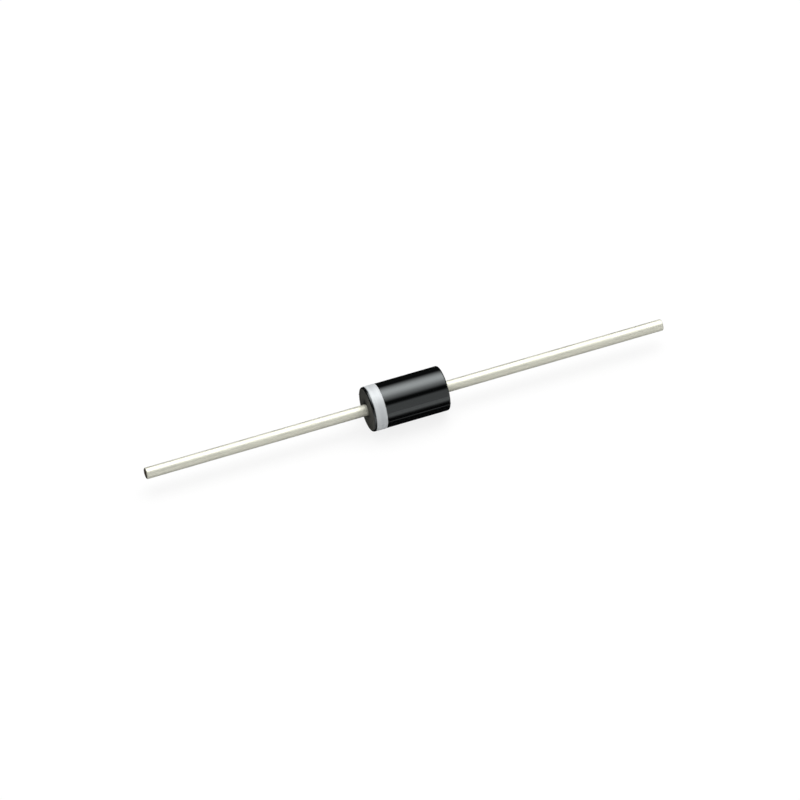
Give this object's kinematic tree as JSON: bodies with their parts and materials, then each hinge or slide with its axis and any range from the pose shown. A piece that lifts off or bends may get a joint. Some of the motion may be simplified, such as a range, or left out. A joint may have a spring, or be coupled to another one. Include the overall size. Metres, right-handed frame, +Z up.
{
  "type": "axial rectifier diode",
  "caption": "Axial-lead power rectifier diode: round black moulded body with a silver cathode band and a straight tinned lead from each end.",
  "frame": {"origin": "middle of the moulded body, on the common axis of the two leads", "axes": "+X along the leads from the cathode end (the banded end) to the anode end, +Z up, the mould's parting plane in z = 0 with its gate on the +Y side"},
  "size_m": [0.061, 0.0052, 0.0052],
  "materials": {
    "epoxy": "gloss",
    "band_ink": "satin",
    "tinned_wire": "satin",
    "solder": "satin",
    "silicon": "gloss",
    "silicone": "satin"
  },
  "bodies": {
    "root": {"moulded_body": "epoxy", "cathode_band": "band_ink", "cathode_lead": "tinned_wire", "anode_lead": "tinned_wire", "silicon_die": "silicon", "cathode_solder": "solder", "anode_solder": "solder", "junction_coating": "silicone"}
  },
  "joints": []
}
